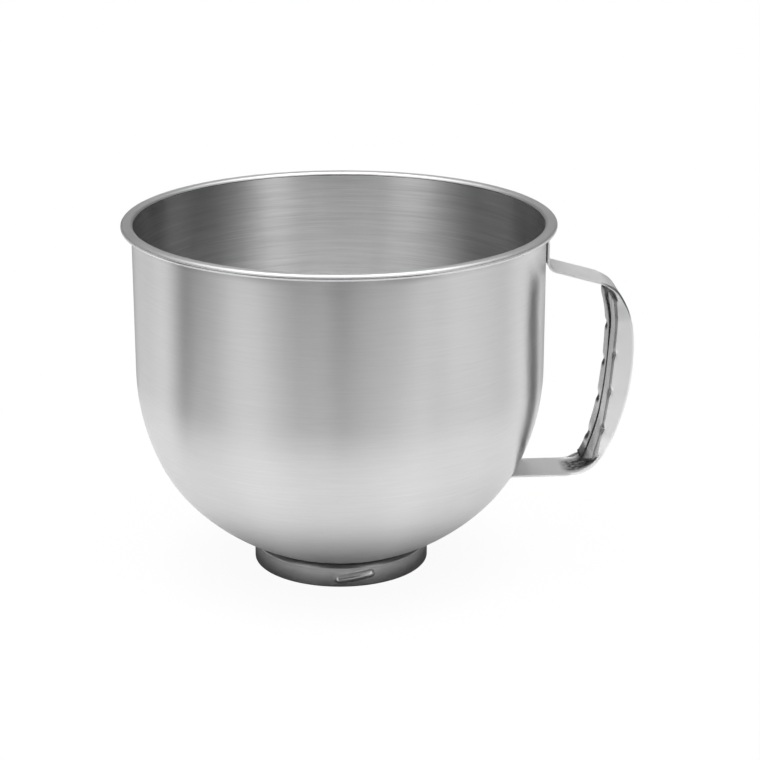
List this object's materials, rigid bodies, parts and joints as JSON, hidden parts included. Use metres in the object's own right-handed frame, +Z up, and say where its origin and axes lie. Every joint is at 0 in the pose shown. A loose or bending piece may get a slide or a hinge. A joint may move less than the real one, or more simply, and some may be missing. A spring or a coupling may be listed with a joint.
{
  "type": "stand mixer bowl",
  "caption": "Deep round-bottomed steel mixing bowl with a curled rim, a folded strap handle and a bayonet base ring.",
  "frame": {"origin": "on the bowl's axis, on the plane that the base ring stands on", "axes": "+Z up along the bowl's axis, out of its mouth; +X from the axis towards the handle"},
  "size_m": [0.2629, 0.222, 0.1843],
  "materials": {
    "bowl_steel": "satin, brushed round the axis",
    "ring_steel": "satin",
    "handle_steel": "polished"
  },
  "bodies": {
    "root": {"bowl": "bowl_steel", "base_ring": "ring_steel", "handle": "handle_steel"}
  },
  "joints": []
}
